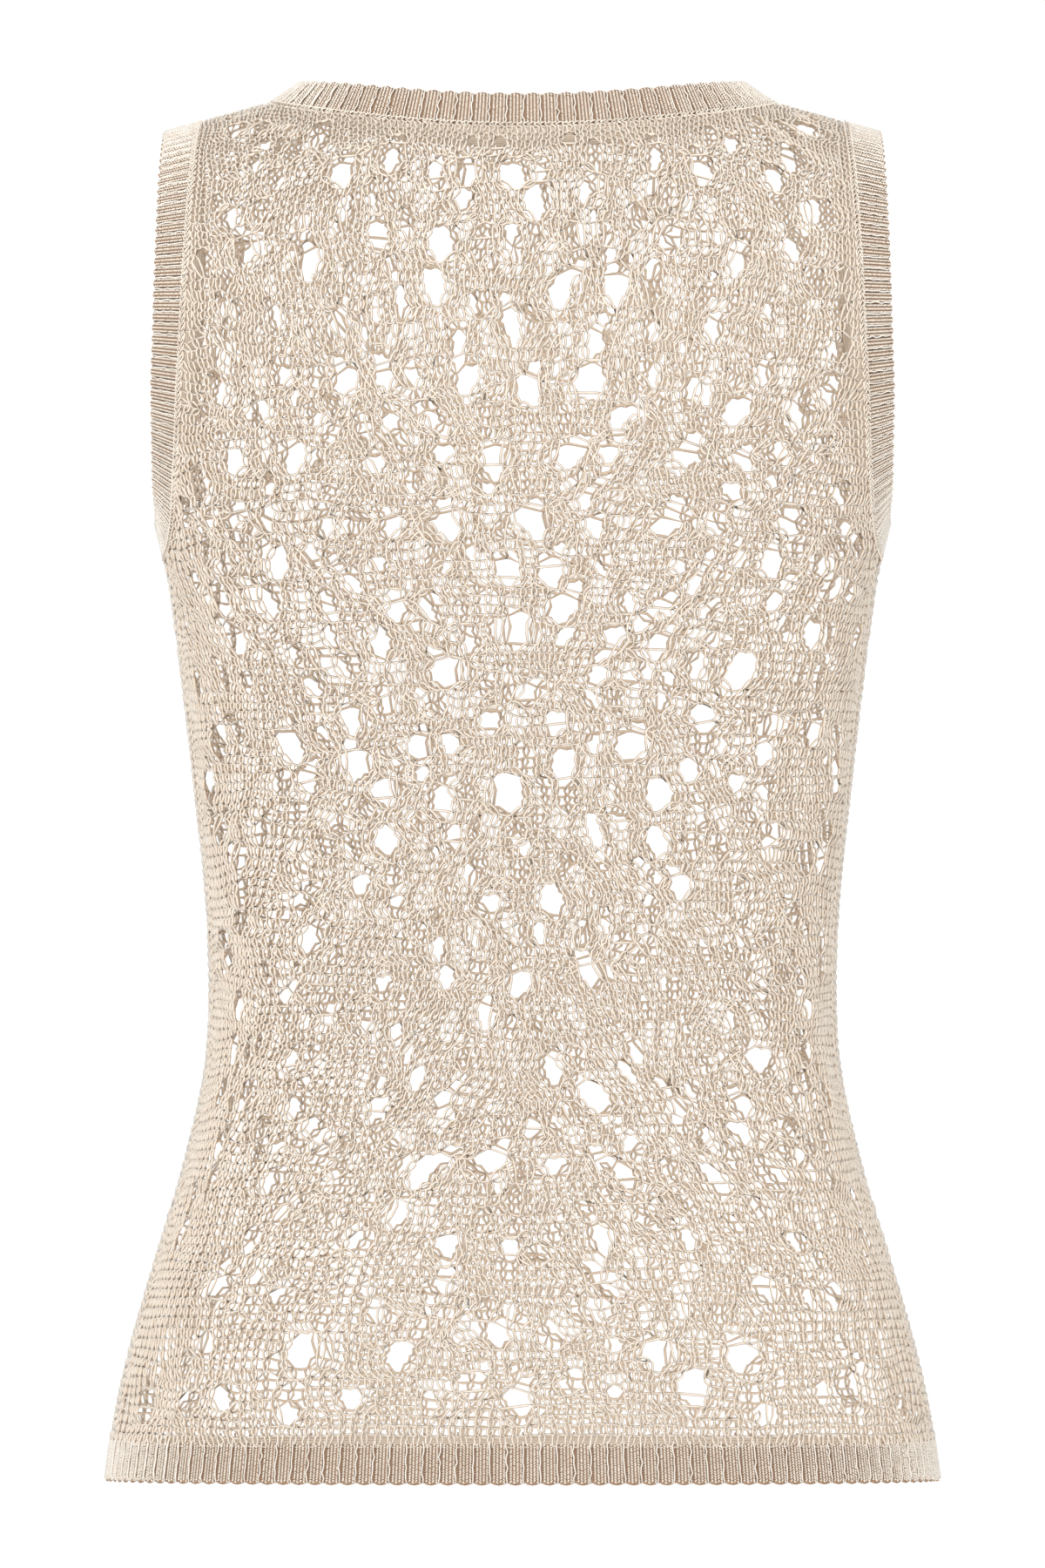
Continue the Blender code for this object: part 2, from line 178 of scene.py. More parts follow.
def across(side, angle, height):
    """Length along the cloth from the centre line to an angle."""
    angle, height = (np.array(a, float) for a in np.broadcast_arrays(angle, height))
    table = lengths_at(side, height.ravel())
    place = np.abs(angle).ravel() / FARTHEST_ANGLE * ARC_STEPS
    k = np.minimum(place.astype(int), ARC_STEPS - 1)
    r = np.arange(len(k))
    found = table[r, k] + (place - k) * (table[r, k + 1] - table[r, k])
    return np.copysign(found.reshape(angle.shape), angle)


def angle_across(side, length, height):
    """The angle that lies at a length along the cloth from the centre line."""
    table = lengths_at(side, height)
    r = np.arange(len(length))
    k = np.clip((table <= np.abs(length)[:, None]).sum(axis=1) - 1, 0, ARC_STEPS - 1)
    share = (np.abs(length) - table[r, k]) / (table[r, k + 1] - table[r, k])
    return np.copysign(FARTHEST_ANGLE * (k + share) / ARC_STEPS, length)


def unit(vectors):
    return vectors / (np.linalg.norm(vectors, axis=-1, keepdims=True) + 1e-12)


def cloth_normal(side, angle, height):
    """The outward direction of the cloth."""
    step = 1e-4
    low = np.minimum(height, SHOULDER_LINE - step)
    run = cloth_point(side, angle + step, low) - cloth_point(side, angle - step, low)
    rise = cloth_point(side, angle, low) - cloth_point(side, angle, low - step)
    normal = unit(np.cross(run, rise))
    return normal if side == "back" else -normal


def wrap(side, flat, depth):
    """Lays flat knitting on the worn form, each point a little under the outer surface."""
    angle = angle_across(side, flat[:, 0], flat[:, 1])
    normal = cloth_normal(side, angle, flat[:, 1])
    return cloth_point(side, angle, flat[:, 1]) - normal * depth[:, None], normal


underarm = float(across("back", SIDE_SEAM["back"], UNDERARM))
print("underarm half width of the back", round(underarm, 4))


# %% [markdown]
# Three seams bound the lace: the side seam, the armhole and the neck. The last two are kept as
# lists of angle and height, and the bands are later sewn to the same lists, so no gap can open.

# %% Seams
def with_midpoints(turns):
    """Adds a point on the smooth curve halfway along each long run of a seam."""
    found = []
    for k, (here, there) in enumerate(zip(turns, turns[1:])):
        before, after = turns[max(k - 1, 0)], turns[min(k + 2, len(turns) - 1)]
        found.append(here)
        run = cloth_point("back", *here) - cloth_point("back", *there)
        if np.linalg.norm(run) > 0.017:
            middle = zip(before, here, there, after)
            found.append(tuple((9 * (b + c) - a - d) / 16 for a, b, c, d in middle))
    return found + turns[-1:]


def half_width(height):
    return float(smooth_rows(SECTIONS, height)[0])


def armhole_turns():
    """The armhole seam on the +X side as angle and height, down the back and up the front."""
    runs = {1: [], 2: []}
    for column, points in runs.items():
        points.append((math.asin(SHOULDER_TIP / half_width(SHOULDER_LINE)), SHOULDER_LINE))
        for row in reversed(ARMHOLE):
            points.append((math.asin(row[column] / half_width(row[0])), row[0]))
    front = [(math.pi - angle, height) for angle, height in reversed(runs[2])]
    return with_midpoints(runs[1] + [(math.pi / 2, UNDERARM)] + front)


def neck_turns(side):
    """The neck seam of one panel from the middle to the +X shoulder."""
    turn = np.linspace(0, np.pi / 2, 41)
    x = NECK_HALF_WIDTH * np.sin(turn) ** (2 / NECK_CURVE[side])
    height = SHOULDER_LINE - NECK_DROP[side] * np.cos(turn) ** (2 / NECK_CURVE[side])
    angle = np.arcsin(x / smooth_rows(SECTIONS, height)[:, 0])
    return np.stack([angle, height], -1)


def armhole_edge(side):
    """The armhole edge of one panel, from its lowest point up, as flat places."""
    turns = np.array(armhole_turns())
    lowest = int(np.argmin(turns[:, 1]))
    part = turns[: lowest + 1][::-1] if side == "back" else turns[lowest:] * (-1, 1) + (np.pi, 0)
    return np.stack([across(side, part[:, 0], part[:, 1]), part[:, 1]], -1)


def panel_half_width(side, height):
    """Flat half width of a panel: to the side seam, and above it to the armhole."""
    edge = armhole_edge(side)[1:]
    below = across(side, SIDE_SEAM[side], np.minimum(height, UNDERARM))
    above = np.interp(height, edge[:, 1], edge[:, 0])
    blend = np.clip((height - UNDERARM) / (edge[1, 1] - UNDERARM), 0, 1)
    return below * (1 - blend) + above * blend


def neck_edge(side):
    turns = neck_turns(side)
    return np.stack([across(side, turns[:, 0], turns[:, 1]), turns[:, 1]], -1)


print("neck edge of the back", np.round(neck_edge("back")[[0, -1]], 4).tolist())

# %% [markdown]
# The camera stands level behind the garment with a long lens, so the picture has hardly any
# perspective, as in product photography. It comes before the knitting because the knit's
# detail only has to be as fine as this view shows.

# %% Camera
FRAME_HEIGHT = 0.675
MIDDLE_HEIGHT = -0.2937
CAMERA_DISTANCE = 16.0
camera_data = bpy.data.cameras.new("camera")
camera_data.sensor_fit = "VERTICAL"
camera_data.sensor_height = 24
camera_data.lens = 24 * CAMERA_DISTANCE / FRAME_HEIGHT
camera_data.clip_end = 60
camera = bpy.data.objects.new("camera", camera_data)
camera.location = (0, -CAMERA_DISTANCE, MIDDLE_HEIGHT)
camera.rotation_euler = (math.radians(90), 0, 0)
bpy.context.scene.collection.objects.link(camera)
bpy.context.scene.camera = camera
print("lens, mm", round(camera_data.lens, 1))

# %% [markdown]
# The studio is a round sheet of pale paper that sweeps up on all sides, so the garment can be
# looked at from anywhere. A circle is filled, and its rim is extruded along a quarter circle and
# then straight up. The paper glows a little, so that it turns white as in product photography.

# %% Paper floor
FLOOR_HEIGHT = -0.70
FLOOR_RADIUS = 17.0
SWEEP_RADIUS = 2.0
bpy.ops.object.select_all(action="DESELECT")
bpy.ops.mesh.primitive_circle_add(
    vertices=64, radius=FLOOR_RADIUS, fill_type="NGON", location=(0, 0, FLOOR_HEIGHT)
)
floor = bpy.context.object
floor.name = floor.data.name = "floor"
bpy.ops.object.transform_apply(location=True, rotation=True, scale=True)
bpy.ops.object.mode_set(mode="EDIT")
bpy.ops.mesh.select_mode(type="EDGE")
bpy.ops.mesh.select_all(action="SELECT")
bpy.ops.mesh.region_to_loop()
radius = FLOOR_RADIUS
turns = [math.pi / 2 * k / 8 for k in range(9)]
for here, there in zip(turns, turns[1:]):
    wider = radius + SWEEP_RADIUS * (math.sin(there) - math.sin(here))
    upward = SWEEP_RADIUS * (math.cos(here) - math.cos(there))
    bpy.ops.mesh.extrude_region_move(TRANSFORM_OT_translate={"value": (0, 0, upward)})
    bpy.ops.transform.resize(value=(wider / radius, wider / radius, 1), center_override=(0, 0, 0))
    radius = wider
bpy.ops.mesh.extrude_region_move(TRANSFORM_OT_translate={"value": (0, 0, 8)})
bpy.ops.object.mode_set(mode="OBJECT")
bpy.ops.object.shade_smooth()
paper = bpy.data.materials.new("studio_paper")
paper.use_nodes = True
paper_shader = paper.node_tree.nodes["Principled BSDF"]
paper_shader.inputs["Base Color"].default_value = (0.3, 0.3, 0.3, 1)
paper_shader.inputs["Roughness"].default_value = 0.9
paper_shader.inputs["Emission Color"].default_value = (1, 1, 1, 1)
paper_shader.inputs["Emission Strength"].default_value = 0.86
floor.data.materials.append(paper)
bpy.ops.object.select_all(action="DESELECT")
print("floor faces", len(floor.data.polygons), "outer radius", round(radius, 2))

# %% [markdown]
# One wide soft light stands on the camera's side, so each strand is bright along its middle and
# darker at its edges. Fainter lights at the sides, above and in front of the garment fill the
# rest, as a product photographer does with reflectors.


# %% Lights
def soft_light(name, place, size, power):
    """A square soft light that points at the middle of the garment."""
    data = bpy.data.lights.new(name, "AREA")
    data.size = size
    data.energy = power
    light = bpy.data.objects.new(name, data)
    light.location = place
    light.visible_camera = False
    aim = np.array((0, 0, MIDDLE_HEIGHT)) - np.array(place)
    flat = math.hypot(aim[0], aim[1])
    light.rotation_euler = (math.pi / 2 + math.atan2(aim[2], flat), 0, math.atan2(-aim[0], aim[1]))
    bpy.context.scene.collection.objects.link(light)


soft_light("key_light", (-0.5, -3.2, 0.75), 1.3, 42)
soft_light("left_fill", (-2.6, -1.4, 0.3), 1.8, 3.5)
soft_light("right_fill", (2.6, -1.6, 0.3), 1.8, 3.5)
soft_light("top_light", (0.0, -1.3, 2.3), 1.6, 28)
soft_light("front_light", (0.0, 1.8, 0.9), 1.6, 18)
world = bpy.data.worlds.new("studio")
bpy.context.scene.world = world
world.use_nodes = True
world.node_tree.nodes["Background"].inputs["Color"].default_value = (1, 1, 1, 1)
world.node_tree.nodes["Background"].inputs["Strength"].default_value = 0.35
bpy.context.scene.view_settings.view_transform = "Standard"


# %% [markdown]
# The yarn is a shiny viscose in beige. Its colour is painted lighter along the outer ridge of a
# strand and browner at its sides: painted highlight and painted shade, besides the lamps' shading.
# A map around and along each strand carries both that and the twist. What all finishes share is
# made by one function.

# %% Yarn finish, with painted highlight and painted shade
def add_node(tree, kind, values=None, **settings):
    """Adds one node, with its settings and the values of its inputs."""
    made = tree.nodes.new(kind)
    for setting, value in settings.items():
        setattr(made, setting, value)
    for socket, value in (values or {}).items():
        made.inputs[socket].default_value = value
    return made


def knit_finish(name, dark, light, start, fine, direction, relief):
    """A finish of two colours with fine rows in relief, and the nodes to build on."""
    made = bpy.data.materials.new(name)
    made.use_nodes = True
    tree = made.node_tree
    shader = tree.nodes["Principled BSDF"]
    place = add_node(tree, "ShaderNodeTexCoord")
    rows = add_node(tree, "ShaderNodeTexWave", fine, bands_direction=direction)
    bump = add_node(tree, "ShaderNodeBump", relief)
    ramp = add_node(tree, "ShaderNodeValToRGB")
    for stop, position, colour in zip(ramp.color_ramp.elements, (start, 1.0), (dark, light)):
        stop.position = position
        stop.color = (*colour, 1)
    tree.links.new(place.outputs["UV"], rows.inputs["Vector"])
    tree.links.new(rows.outputs["Fac"], bump.inputs["Height"])
    tree.links.new(bump.outputs["Normal"], shader.inputs["Normal"])
    tree.links.new(ramp.outputs["Color"], shader.inputs["Base Color"])
    return made, tree, shader, place, rows, ramp


def yarn_finish(name, dark, light):
    """A glossy yarn with a painted highlight on its outer ridge and painted shade at its sides."""
    twist = {"Scale": 1.0, "Distortion": 1.0}
    relief = {"Strength": 0.3, "Distance": 0.0003}
    shared = knit_finish(name, dark, light, 0.22, twist, "DIAGONAL", relief)
    made, tree, shader, place, _, ramp = shared
    shader.inputs["Roughness"].default_value = 0.42
    shader.inputs["Specular IOR Level"].default_value = 0.5
    shader.inputs["Sheen Weight"].default_value = 0.15
    # Painted highlight and shade: the colour ramp runs from dark at the strand's sides to light on
    # its outer ridge, by the map around the ring.
    split = add_node(tree, "ShaderNodeSeparateXYZ")
    middle = add_node(tree, "ShaderNodeMath", {1: 0.5}, operation="SUBTRACT")
    ridge = add_node(tree, "ShaderNodeMath", operation="ABSOLUTE")
    spread = add_node(tree, "ShaderNodeMapRange", {"From Min": 0.14, "From Max": 0.42})
    patches = add_node(tree, "ShaderNodeTexNoise", {"Scale": 160, "Detail": 3})
    share = add_node(tree, "ShaderNodeMath", {1: 0.45}, operation="MULTIPLY")
    both = add_node(tree, "ShaderNodeMath", {1: 0.72}, operation="MULTIPLY_ADD")
    for out, into in (
        (place.outputs["UV"], split.inputs["Vector"]),
        (split.outputs["Y"], middle.inputs[0]),
        (middle.outputs["Value"], ridge.inputs[0]),
        (ridge.outputs["Value"], spread.inputs["Value"]),
        (spread.outputs["Result"], both.inputs[0]),
        (place.outputs["Object"], patches.inputs["Vector"]),
        (patches.outputs["Fac"], share.inputs[0]),
        (share.outputs["Value"], both.inputs[2]),
        (both.outputs["Value"], ramp.inputs["Fac"]),
    ):
        tree.links.new(out, into)
    return made


# Each yarn gets painted shade at its sides and a painted highlight on its ridge; the near-white
# light ends of rib_yarn and cord_yarn are painted highlights.
lace_yarn = yarn_finish("lace_yarn", (0.54, 0.38, 0.24), (0.85, 0.77, 0.67))
# The front lace is the same yarn painted lighter: painted light on the inside of the front, which
# shows through the holes of the back.
front_yarn_painted_light = yarn_finish("front_lace_painted_light", (0.76, 0.62, 0.48), (0.84, 0.77, 0.68))
rib_yarn = yarn_finish("rib_yarn", (0.54, 0.35, 0.21), (0.99, 0.93, 0.83))
cord_yarn = yarn_finish("cord_yarn", (0.56, 0.39, 0.25), (0.99, 0.95, 0.88))
print("finishes", lace_yarn.name, rib_yarn.name, cord_yarn.name)

# %% [markdown]
# The ground of a band shows only in the grooves between its stitches and on its inside, where
# it looks like plain ribbing: even fine rows. The inside has the yarn's beige; in the grooves it is
# painted dark brown, as painted shade between the ribs.


# %% Ground finish, with painted shade for the grooves
def ground_finish(name, dark, light):
    """A matt finish with fine rows, for the ribbed ground of the bands."""
    fine = {"Scale": 0.31, "Distortion": 1.5}
    relief = {"Strength": 0.5, "Distance": 0.0004}
    made, tree, shader, _, rows, ramp = knit_finish(name, dark, light, 0.0, fine, "Y", relief)
    shader.inputs["Roughness"].default_value = 0.6
    tree.links.new(rows.outputs["Fac"], ramp.inputs["Fac"])
    return made


# A dark brown copy of the ground: painted shade in the grooves between the ribs.
groove_painted_shade = ground_finish("groove_painted_shade", (0.28, 0.16, 0.09), (0.46, 0.31, 0.20))
inside_yarn = ground_finish("inside_yarn", (0.66, 0.54, 0.42), (0.82, 0.73, 0.62))
print("finishes", groove_painted_shade.name, inside_yarn.name)


# %% [markdown]
# Every strand is drawn as a thin tube. Curve objects with a bevel would be the hand-made way,
# but tens of thousands of loops are too many for them, so one function lays rings of three
# points along all strands at once and joins them to one mesh.

# %% Strands of yarn
RING = 3
UNEVEN = 0.00008


def mesh_piece(name, vertices, faces, map_name, corners, finishes):
    """Makes one smooth piece, with a map that has two values for every corner of a face."""
    mesh = bpy.data.meshes.new(name)
    mesh.from_pydata(vertices.reshape(-1, 3).tolist(), [], faces)
    mesh.uv_layers.new(name=map_name).data.foreach_set("uv", corners.ravel())
    mesh.polygons.foreach_set("use_smooth", [True] * len(mesh.polygons))
    for finish in finishes:
        mesh.materials.append(finish)
    piece = bpy.data.objects.new(name, mesh)
    bpy.context.scene.collection.objects.link(piece)
    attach(piece, "root")
    return piece


def yarn_piece(name, places, normals, starts, radius, finish):
    """Joins strands to one mesh; starts marks the first point of each strand."""
    count = len(places)
    number = np.arange(count)
    joined = np.append(~starts[1:], False)
    before = np.where(starts, number, number - 1)
    after = np.where(joined, number + 1, number)
    along = unit(unit(places[after] - places) + 0.9 * unit(places - places[before]))
    aside = unit(np.cross(along, normals))
    up = np.cross(aside, along)
    turns = np.arange(RING) * 2 * np.pi / RING + np.pi / 2
    wide, high = (wave(turns)[None, :, None] for wave in (np.cos, np.sin))
    ring = wide * aside[:, None] + high * up[:, None]
    vertices = places[:, None] + ring * radius
    here = number[joined][:, None] * RING
    s, t = np.arange(RING)[None, :], (np.arange(RING)[None, :] + 1) % RING
    walls = np.stack([here + s, here + RING + s, here + RING + t, here + t], -1).reshape(-1, 4)
    first = number[starts][:, None] * RING + np.arange(RING)
    last = number[~joined][:, None] * RING + np.arange(RING)[::-1]
    run = np.linalg.norm(places[after] - places, axis=1)
    run = np.concatenate([[0], np.cumsum(run)[:-1]]) * 1000
    u = np.stack([run[:-1][joined[:-1]], run[1:][joined[:-1]]], -1)
    u = np.repeat(u[:, [0, 1, 1, 0]], RING, axis=0)
    v = np.tile(np.stack([s, s, s + 1, s + 1], -1).reshape(-1, 4) / RING, (int(joined.sum()), 1))
    corners = np.zeros((walls.size + first.size + last.size, 2))
    corners[: walls.size] = np.stack([u, v], -1).reshape(-1, 2)
    faces = walls.tolist() + first.tolist() + last.tolist()
    piece = mesh_piece(name, vertices, faces, "along_yarn", corners, [finish])
    print(name, "triangles", 2 * len(walls) + len(first) + len(last))
    return piece


# %% [markdown]
# Machine lace is made by moving loops to neighbouring needles. The emptied needles leave a hole,
# the moved loops lean over it, and a loop that is held for some courses grows long. A chart says
# which needles are empty. It is planned on the rest places of the loops, which are where they
# would lie in plain knitting. The front's follow the back's, so that both charts line up.

# %% Plan of the lace
WALES = 80
COURSES = 154
SEED = 11
MORE_SEED = {"back": 12, "front": 13}
REPEAT_WALES = 7
REPEAT_COURSES = 16
MAIN_LUCK = 0.80
MORE_LUCK = 1.2
MORE_SHARE = 0.15
HOLES = {
    "round": (2, 3, 2),
    "tall": (2, 2, 2),
    "medium": (2, 2),
    "narrow": (1, 2, 1),
    "flat": (2,),
    "small": (1, 1),
    "dot": (1,),
}
MAIN_KINDS = ("flat", "narrow", "medium", "tall", "round")
MORE_KINDS = {
    "medium": 0.06,
    "narrow": 0.12,
    "flat": 0.14,
    "small": 0.20,
    "dot": 0.26,
    "long": 0.22,
}
LATTICE = ((0, 0), (4, 0.7), (8, 3.6), (12, 2.9))
HOLE_LEAN = 0.9
SIDE_LOOP_CHANCE = 0.4
KNIT_HEIGHT = 0.62


def rest_places(side):
    """Where each loop would lie in plain knitting, as flat places by wale and course."""
    share = np.linspace(-1, 1, WALES)[:, None]
    height = np.linspace(HEM_BAND, SHOULDER_LINE, COURSES + 1)
    edges = {s: panel_half_width(s, height) - 0.0004 for s in ("back", "front")}
    last = {s: angle_across(s, edges[s], height) for s in edges}
    heights = np.broadcast_to(height, (WALES, height.size))
    angle = angle_across("back", (share * edges["back"]).ravel(), heights.ravel())
    angle = angle.reshape(heights.shape)
    angle = angle + (last[side] - last["back"]) * np.sign(angle) * np.abs(angle / last["back"]) ** 4
    return np.stack([across(side, angle, heights), heights], -1)


def under_neck(side, places):
    """Which flat places lie below the neck seam."""
    edge = neck_edge(side)
    limit = np.interp(np.abs(places[..., 0]), edge[:, 0], edge[:, 1], right=1.0)
    return places[..., 1] <= limit


print("loops in plain knitting", WALES * COURSES, "a panel")

# %% [markdown]
# The lace isn't the same all over. It is most open on the upper back and closest at the sides,
# and its lines lean away from the centre.


# %% Openness and lean
def openness(share, height):
    """How open the lace is, from 0 to 1, by share of the half width and height."""
    found = 0.56
    found += 0.38 * np.exp(-((share / 0.40) ** 2) - ((height - 0.435) / 0.060) ** 2)
    found += 0.22 * np.exp(-((share / 0.60) ** 2) - ((height - 0.310) / 0.060) ** 2)
    found -= 0.12 * np.exp(-(((height - 0.210) / 0.045) ** 2))
    found -= 0.14 * np.clip((0.13 - height) / 0.05, 0, 1)
    edge = np.clip((abs(share) - 0.62) / 0.25, 0, 1)
    found -= (0.30 if height < 0.39 else 0.06) * edge
    return found - 0.06 * np.clip((height - 0.600) / 0.03, 0, 1)


def lean_of(share, height):
    """How far the wales lean: away from the centre, up in the upper half, down in the lower."""
    up = np.clip((height - 0.30) / 0.05, -1, 1)
    up = up * np.clip((0.53 - height) / 0.08, 0, 1) * np.clip((height - 0.04) / 0.08, 0, 1)
    return float(np.clip(share / 0.25, -1, 1) * up)


print("openness in the middle", round(float(openness(0, 0.435)), 2), "lean", lean_of(0.5, 0.45))

# %% [markdown]
# Large holes repeat in staggered rows, shifted a little by chance and mirrored about the centre.
# Both panels share them, so light falls through both layers there, as it does in the photo. Each
# panel has small holes of its own between them. A hole is left out where it would touch another.


# %% Lace chart
def hole_sites(rng, more_rng):
    """Places of holes on one half: wales from the centre, course, kind or none, size and luck."""
    half = WALES / 2
    sites = []
    for start in range(-REPEAT_COURSES, COURSES, REPEAT_COURSES):
        for row, offset in LATTICE:
            for repeat in range(int(half // REPEAT_WALES) + 2):
                wale = repeat * REPEAT_WALES + offset + rng.uniform(-0.8, 0.8)
                course = start + row + int(rng.integers(-1, 2))
                sites.append((wale, course, None, rng.random() * MAIN_LUCK, rng.random((2, 5))))
    for _ in range(int(WALES * COURSES * MORE_SHARE)):
        kind = more_rng.choice(list(MORE_KINDS), p=list(MORE_KINDS.values()))
        course, wale = int(more_rng.integers(1, COURSES - 3)), more_rng.uniform(0, half)
        luck, chances = more_rng.random() * MORE_LUCK, more_rng.random((2, 5))
        sites.append((wale, course, str(kind), luck, chances))
    return sites


def grow(mask, wales, courses):
    """Marks the neighbours of a mask, some wales and courses around."""
    found = mask.copy()
    for _ in range(wales):
        found[1:] |= found[:-1].copy()
        found[:-1] |= found[1:].copy()
    for _ in range(courses):
        found[:, 1:] |= found[:, :-1].copy()
        found[:, :-1] |= found[:, 1:].copy()
    return found


def lace_chart(cloth, rng):
    """Which needles are empty, and how many courses each loop spans."""
    empty = np.zeros(cloth.shape, bool)
    span = np.ones(cloth.shape, int)
    taken = grow(~cloth, 1, 1)
    taken[:2] = taken[-2:] = taken[:, :1] = taken[:, -2:] = True
    half = (WALES - 1) / 2
    for wale, course, planned, luck, chances in hole_sites(np.random.default_rng(SEED), rng):
        for mirror, chance in zip((-1, 1), chances):
            height = HEM_BAND + (SHOULDER_LINE - HEM_BAND) * course / COURSES
            open_here = openness(mirror * wale / half, height)
            if luck > open_here:
                continue
            size = int(chance[4] * (0.45 + open_here) * len(MAIN_KINDS))
            kind = planned or MAIN_KINDS[min(size, len(MAIN_KINDS) - 1)]
            centre = half + mirror * wale + (0.7 if chance[0] < 0.2 else 0)
            if kind == "long":
                i, tall = int(round(centre)), 2 + int(chance[1] < 0.5)
                clear = 0 <= i < WALES and course + tall < COURSES
                if clear and not taken[i, course - 1 : course + tall + 1].any():
                    span[i, course] = tall
                    empty[i, course + 1 : course + tall] = True
                    taken[i, course : course + tall] = True
                continue
            cells = []
            lean = HOLE_LEAN * lean_of(mirror * wale / half, height)
            for row, width in enumerate(HOLES[kind]):
                first = int(round(centre + lean * (row - 1) - (width - 1) / 2))
                cells += [(first + k, course + row) for k in range(width)]
            low, high = min(i for i, _ in cells), max(i for i, _ in cells)
            top = course + len(HOLES[kind]) - 1
            if low < 2 or high > WALES - 3 or course < 1 or top > COURSES - 3:
                continue
            if any(taken[i - 1 : i + 2, j - 1 : j + 2].any() for i, j in cells):
                continue
            for i, j in cells:
                empty[i, j] = taken[i, j] = True
            for way, edge, wish in ((-1, low, chance[2]), (1, high, chance[3])):
                loop = edge + way
                if wish >= SIDE_LOOP_CHANCE or top - course < 2 or not 2 <= loop <= WALES - 3:
                    continue
                if taken[loop, course : top + 2].any():
                    continue
                span[loop, course] = top - course + 1
                empty[loop, course + 1 : top + 1] = True
                taken[loop, course : top + 1] = True
    return empty, span


print("kinds of holes", ", ".join(HOLES))

# %% [markdown]
# A loop below a hole hangs from the nearest full needle above, and so do some of its
# neighbours, in a group that leans the same way. The groups are longest where the lace leans
# away from the centre, which gives the slanting lines that spread out over the back.

# %% Leaning loops
def leaning(cloth, empty, span, rng):
    """How many wales each loop's head is moved sideways."""
    wales, courses = empty.shape
    move = np.zeros((wales, courses), int)
    held = np.zeros((wales, courses), bool)
    half = (wales - 1) / 2
    heights = np.arange(courses) / courses * KNIT_HEIGHT
    shares = (np.arange(wales) - half) / half
    lean = np.array([[lean_of(share, height) for height in heights] for share in shares])
    for i, j in np.argwhere(span > 1):
        held[i, j + 1 : j + span[i, j]] = True
        way, top = int(np.sign(lean[i, j])), j + span[i, j]
        way *= 2 if span[i, j] > 2 and abs(lean[i, j]) > 0.7 and 2 <= i < wales - 2 else 1
        there = (i + way, top)
        if abs(lean[i, j]) > 0.3 and top < courses and cloth[there] and not empty[there]:
            move[i, j] = way
    gone = empty & ~held
    free = cloth & ~empty & (span == 1)
    for j in range(courses - 1):
        i = 0
        while i < wales:
            if not (gone[i, j + 1] and free[i, j]):
                i += 1
                continue
            k = i
            while k < wales and gone[k, j + 1] and free[k, j]:
                k += 1
            low, high = i, k - 1
            while low > 0 and gone[low - 1, j + 1]:
                low -= 1
            while high < wales - 1 and gone[high + 1, j + 1]:
                high += 1
            middle = (low + high) / 2 + rng.choice([-0.4, 0.4])
            left = [m for m in range(i, k) if m <= middle]
            right = [m for m in range(i, k) if m > middle]
            for m in left:
                move[m, j] = low - 1 - m
            for m in right:
                move[m, j] = high + 1 - m
            for group, way in ((left[:1], -1), (right[-1:], 1)):
                for edge in group:
                    reach = rng.integers(3, 9) if way * lean[edge, j] > 0.3 else rng.integers(0, 4)
                    for more in range(int(reach)):
                        m = edge + way * (1 + more)
                        if not 1 <= m < wales - 1 or not free[m, j] or move[m, j]:
                            break
                        if empty[m + way, j + 1] or not cloth[m + way, j + 1]:
                            break
                        move[m, j] = way
            i = k
    return move


print("lean from side to side", [round(lean_of(x / 4, 0.45), 1) for x in range(-4, 5)])

# %% [markdown]
# The chart and the leaning loops of a panel are put together here. For each loop they give
# where its head hangs, and which loops have nothing to hang in and so cross a hole. Smooth noise
# later makes some patches of the knitting tighter and others looser, as a machine does.

# %% Charted loops
LEAN_LENGTHS = (0.90, 1.2, 1.5, 1.9)
TALL_VARIATION = 0.16
WIDE_VARIATION = 0.24
LOOP_WIDTH = 0.87
CROSSING_WIDTH = 0.9
CROSSING_PULL = 0.9
BAR_CHANCE = 0.08
BAR_WIDTH = 0.85
BAR_PULL = 0.25
EDGE_SWAY = 0.0011
SETTLE_ROUNDS = 350
HOME_PULL = 0.02


def smooth_noise(shape, rng, rounds):
    noise = rng.normal(0, 1, shape)
    for _ in range(rounds):
        around = sum(np.roll(noise, way, axis) for way in (1, -1) for axis in (0, 1))
        noise = (noise + around) / 2.2
    return noise / noise.std()


def charted(side, kept, rng):
    """Charts one panel: which loops are there, which lie over a hole, where each head hangs."""
    cloth = kept[:, :-1] & kept[:, 1:]
    empty, span = lace_chart(cloth, rng)
    move = leaning(cloth, empty, span, rng)
    full = cloth & ~empty
    wale, course = np.meshgrid(np.arange(WALES), np.arange(COURSES), indexing="ij")
    head_i = np.clip(wale + move, 0, WALES - 1)
    head_j = np.minimum(course + span, COURSES)
    short = full & ~kept[head_i, head_j]
    head_i[short], head_j[short] = wale[short], course[short] + 1
    caught = np.zeros((WALES, COURSES + 1), int)
    caught[:, 0] = 1
    np.add.at(caught, (head_i[full], head_j[full]), 1)
    over = (caught[:, :COURSES] == 0) & full
    print(side, "loops", int(full.sum()), "empty needles", round(float(empty[cloth].mean()), 3))
    return cloth, full, over, head_i, head_j


print("lengths of leaning loops", LEAN_LENGTHS)

# %% [markdown]
# Knitting finds its own shape: each loop pulls on the loops that it hangs in. The net is let
# settle with simple springs, with its edge held on the seams. Solving it as a net takes
# a second, where a cloth simulation of every strand would take hours.


# %% Settle the net
def nearest_on(edge, points):
    """The nearest places of a bent line to some points, mirrored to the side of each point."""
    sign = np.where(points[:, 0] < 0, -1.0, 1.0)
    here = np.stack([np.abs(points[:, 0]), points[:, 1]], -1)
    start, run = edge[:-1], edge[1:] - edge[:-1]
    to = here[:, None] - start[None]
    share = np.clip((to * run[None]).sum(-1) / (run**2).sum(-1)[None], 0, 1)
    places = start[None] + share[..., None] * run[None]
    best = np.linalg.norm(places - here[:, None], axis=-1).argmin(axis=1)
    found = places[np.arange(len(here)), best]
    return found * np.stack([sign, np.ones(len(sign))], -1)


